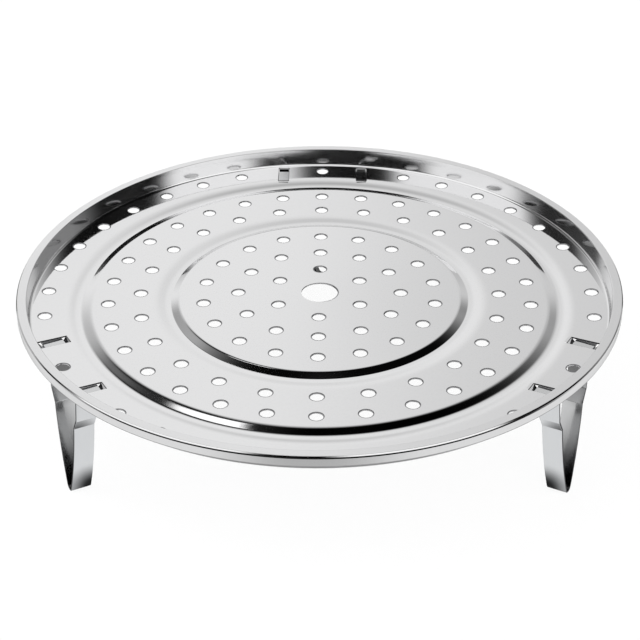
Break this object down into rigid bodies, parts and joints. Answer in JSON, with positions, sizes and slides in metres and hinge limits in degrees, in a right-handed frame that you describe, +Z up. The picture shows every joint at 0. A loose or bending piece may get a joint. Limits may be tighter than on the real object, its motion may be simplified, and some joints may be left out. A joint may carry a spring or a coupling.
{
  "type": "steamer rack",
  "caption": "Round pressed steel steaming plate with a turned-over rim, pressed rings and rings of steam holes, standing on spring strap legs that clip into loops under its edge",
  "frame": {"origin": "under the tray's centre, on the surface that the feet stand on", "axes": "+Z up, +Y towards the back leg, +X to the right of the one who looks along +Y"},
  "size_m": [0.28, 0.28, 0.0767],
  "materials": {
    "tray_steel": "stainless steel sheet, pressed and polished to a mirror",
    "leg_steel": "stainless spring steel strap, polished"
  },
  "bodies": {
    "tray": {"tray": "tray_steel"},
    "leg_back": {"leg_back": "leg_steel"},
    "leg_left": {"leg_left": "leg_steel"},
    "leg_right": {"leg_right": "leg_steel"}
  },
  "joints": [
    {"name": "leg_back_unclips", "type": "slide", "parent": "tray", "child": "leg_back", "axis": [0, 0, -1], "range_m": [0, 0.02], "deforming": ["leg_back"]},
    {"name": "leg_left_unclips", "type": "slide", "parent": "tray", "child": "leg_left", "axis": [0, 0, -1], "range_m": [0, 0.02], "deforming": ["leg_left"]},
    {"name": "leg_right_unclips", "type": "slide", "parent": "tray", "child": "leg_right", "axis": [0, 0, -1], "range_m": [0, 0.02], "deforming": ["leg_right"]}
  ]
}
